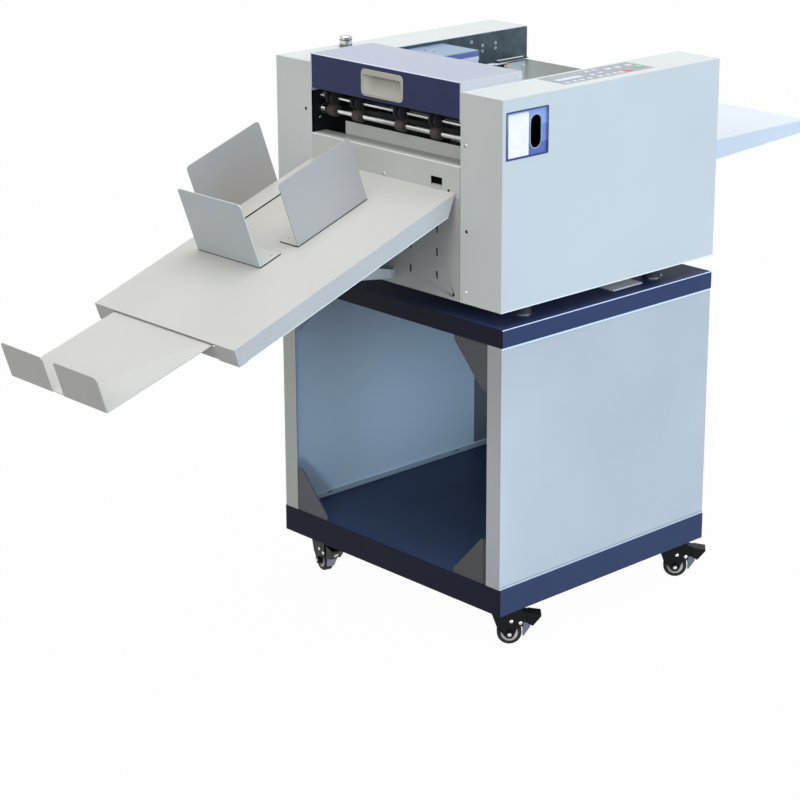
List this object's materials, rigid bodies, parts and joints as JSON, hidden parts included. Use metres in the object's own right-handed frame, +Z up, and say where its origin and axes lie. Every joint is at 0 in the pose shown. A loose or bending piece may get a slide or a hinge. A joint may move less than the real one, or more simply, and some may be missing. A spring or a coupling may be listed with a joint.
{
  "type": "paper creasing machine",
  "caption": "Office paper creasing machine on a castor stand, with a lifting feed table, hinged cover, delivery rollers and a sloping delivery tray with sliding guides.",
  "frame": {"origin": "bottom centre of the whole machine's box at rest, on the floor under the castor wheels", "axes": "+X along the paper path from the delivery tray to the feed table, +Y from the operator side to the rear side, +Z up"},
  "size_m": [1.8734, 0.6728, 1.1477],
  "materials": {
    "stand_grey": "satin powder coat",
    "stand_navy": "satin powder coat",
    "body_grey": "fine textured powder coat",
    "hood_navy": "satin powder coat",
    "frame_black": "satin black",
    "zinc": "zinc plated sheet",
    "chrome": "polished",
    "steel": "ground",
    "rubber": "matte",
    "tray_grey": "satin powder coat",
    "guide_grey": "satin powder coat",
    "table_white": "satin powder coat",
    "box_white": "satin",
    "keypad_grey": "satin membrane",
    "key_green": "semi gloss",
    "key_red": "semi gloss",
    "ivory": "satin",
    "recess_grey": "satin",
    "gear_white": "moulded",
    "motor_black": "satin",
    "castor_black": "satin",
    "tyre": "matte"
  },
  "bodies": {
    "machine": {"blower_box": "box_white", "castor_plates": "zinc", "control_keypad": "keypad_grey", "cover_cheeks": "body_grey", "cover_hinge_rod": "chrome", "cover_liner_plates": "zinc", "creasing_die": "steel", "delivery_baffle": "body_grey", "delivery_front_panel": "body_grey", "drive_motor": "motor_black", "feed_end_panel": "body_grey", "instruction_recess": "recess_grey", "lift_guide_rods": "chrome", "machine_base_plate": "steel", "machine_feet": "rubber", "operator_side_cover": "body_grey", "operator_side_frame": "frame_black", "rear_side_cover": "body_grey", "rear_side_frame": "frame_black", "register_deck": "zinc", "shaft_bearings": "steel", "stand_base_pan": "stand_navy", "stand_feed_end_panel": "stand_grey", "stand_gussets": "frame_black", "stand_operator_panel": "stand_grey", "stand_rear_panel": "stand_grey", "stand_top_frame": "stand_navy", "suction_head": "frame_black", "tray_support_arm": "tray_grey"},
    "castor_1": {"castor_fork_1": "castor_black"},
    "castor_wheel_1": {"castor_wheel_1": "tyre"},
    "castor_pedal_1": {"castor_pedal_1": "castor_black"},
    "castor_2": {"castor_fork_2": "castor_black"},
    "castor_wheel_2": {"castor_wheel_2": "tyre"},
    "castor_pedal_2": {"castor_pedal_2": "castor_black"},
    "castor_3": {"castor_fork_3": "castor_black"},
    "castor_wheel_3": {"castor_wheel_3": "tyre"},
    "castor_pedal_3": {"castor_pedal_3": "castor_black"},
    "castor_4": {"castor_fork_4": "castor_black"},
    "castor_wheel_4": {"castor_wheel_4": "tyre"},
    "castor_pedal_4": {"castor_pedal_4": "castor_black"},
    "hood": {"hinged_cover": "hood_navy", "cover_handle": "ivory"},
    "lower_rollers": {"lower_delivery_shaft": "chrome", "lower_delivery_rollers": "rubber", "lower_shaft_gear": "gear_white"},
    "upper_rollers": {"upper_delivery_shaft": "chrome", "upper_delivery_discs": "rubber", "upper_shaft_gear": "gear_white"},
    "pinion": {"motor_pinion": "steel"},
    "crease_beam": {"crease_blade_bar": "steel"},
    "knob": {"depth_knob": "chrome"},
    "start_key": {"start_key": "key_green"},
    "stop_key": {"stop_key": "key_red"},
    "feed_table": {"feed_table": "table_white"},
    "delivery_tray": {"delivery_tray": "tray_grey"},
    "near_guide": {"near_side_guide": "guide_grey"},
    "rear_guide": {"rear_side_guide": "guide_grey"},
    "end_stop": {"end_stop_guide": "guide_grey"},
    "extension": {"tray_extension": "tray_grey"}
  },
  "joints": [
    {"name": "castor_swivel_1", "type": "hinge", "parent": "machine", "child": "castor_1", "pos_m": [-0.0783, -0.26464, 0.087], "axis": [0, 0, 1], "continuous": true},
    {"name": "castor_roll_1", "type": "hinge", "parent": "castor_1", "child": "castor_wheel_1", "pos_m": [-0.06441, -0.2776, 0.025], "axis": [0.682, 0.7314, 0], "continuous": true},
    {"name": "castor_brake_1", "type": "hinge", "parent": "castor_1", "child": "castor_pedal_1", "pos_m": [-0.06075, -0.28101, 0.056], "axis": [-0.682, -0.7314, 0], "range_deg": [0, 20]},
    {"name": "castor_swivel_2", "type": "hinge", "parent": "machine", "child": "castor_2", "pos_m": [0.4297, -0.26464, 0.087], "axis": [0, 0, 1], "continuous": true},
    {"name": "castor_roll_2", "type": "hinge", "parent": "castor_2", "child": "castor_wheel_2", "pos_m": [0.44241, -0.27876, 0.025], "axis": [0.7431, 0.6691, 0], "continuous": true},
    {"name": "castor_brake_2", "type": "hinge", "parent": "castor_2", "child": "castor_pedal_2", "pos_m": [0.44576, -0.28248, 0.056], "axis": [-0.7431, -0.6691, 0], "range_deg": [0, 20]},
    {"name": "castor_swivel_3", "type": "hinge", "parent": "machine", "child": "castor_3", "pos_m": [-0.0783, 0.28336, 0.087], "axis": [0, 0, 1], "continuous": true},
    {"name": "castor_roll_3", "type": "hinge", "parent": "castor_3", "child": "castor_wheel_3", "pos_m": [-0.08322, 0.26501, 0.025], "axis": [0.9659, -0.2588, 0], "continuous": true},
    {"name": "castor_brake_3", "type": "hinge", "parent": "castor_3", "child": "castor_pedal_3", "pos_m": [-0.08451, 0.26018, 0.056], "axis": [-0.9659, 0.2588, 0], "range_deg": [0, 20]},
    {"name": "castor_swivel_4", "type": "hinge", "parent": "machine", "child": "castor_4", "pos_m": [0.4297, 0.28336, 0.087], "axis": [0, 0, 1], "continuous": true},
    {"name": "castor_roll_4", "type": "hinge", "parent": "castor_4", "child": "castor_wheel_4", "pos_m": [0.44615, 0.27386, 0.025], "axis": [0.5, 0.866, 0], "continuous": true},
    {"name": "castor_brake_4", "type": "hinge", "parent": "castor_4", "child": "castor_pedal_4", "pos_m": [0.45048, 0.27136, 0.056], "axis": [-0.5, -0.866, 0], "range_deg": [0, 20]},
    {"name": "hood_hinge", "type": "hinge", "parent": "machine", "child": "hood", "pos_m": [0.0237, 0.00936, 1.133], "axis": [0, 1, 0], "range_deg": [0, 95]},
    {"name": "lower_roller_spin", "type": "hinge", "parent": "machine", "child": "lower_rollers", "pos_m": [-0.0993, 0.00936, 1.025], "axis": [0, 1, 0], "continuous": true},
    {"name": "upper_roller_spin", "type": "hinge", "parent": "machine", "child": "upper_rollers", "pos_m": [-0.1013, 0.00936, 1.05193], "axis": [0, 1, 0], "continuous": true},
    {"name": "motor_spin", "type": "hinge", "parent": "machine", "child": "pinion", "pos_m": [-0.08398, 0.00936, 1.01214], "axis": [0, 1, 0], "continuous": true},
    {"name": "crease_stroke", "type": "slide", "parent": "machine", "child": "crease_beam", "axis": [0, 0, 1], "range_m": [-0.004, 0]},
    {"name": "depth_knob_turn", "type": "hinge", "parent": "machine", "child": "knob", "pos_m": [0.0247, 0.29986, 1.124], "axis": [0, 0, 1], "range_deg": [-135, 135]},
    {"name": "start_key_press", "type": "slide", "parent": "machine", "child": "start_key", "axis": [0, 0, -1], "range_m": [0, 0.001], "stiffness_N_per_m": 800},
    {"name": "stop_key_press", "type": "slide", "parent": "machine", "child": "stop_key", "axis": [0, 0, -1], "range_m": [0, 0.001], "stiffness_N_per_m": 800},
    {"name": "table_lift", "type": "slide", "parent": "machine", "child": "feed_table", "axis": [0, 0, 1], "range_m": [-0.09, 0.06]},
    {"name": "tray_tilt", "type": "hinge", "parent": "machine", "child": "delivery_tray", "pos_m": [-0.1333, 0.00936, 0.933], "axis": [0, 1, 0], "range_deg": [0, 15]},
    {"name": "near_guide_slide", "type": "slide", "parent": "delivery_tray", "child": "near_guide", "axis": [0, 1, 0], "range_m": [-0.16, 0.06]},
    {"name": "rear_guide_slide", "type": "slide", "parent": "delivery_tray", "child": "rear_guide", "axis": [0, 1, 0], "range_m": [-0.08, 0]},
    {"name": "end_stop_slide", "type": "slide", "parent": "delivery_tray", "child": "end_stop", "axis": [-0.9415, 0, -0.3371], "range_m": [-0.01, 0.2]},
    {"name": "extension_slide", "type": "slide", "parent": "delivery_tray", "child": "extension", "axis": [-0.9553, 0, -0.2957], "range_m": [-0.14, 0.05]}
  ],
  "couplings": [
    {"joint": "upper_roller_spin", "follows": "lower_roller_spin", "ratio": -0.86207},
    {"joint": "motor_spin", "follows": "lower_roller_spin", "ratio": -1.6667}
  ]
}
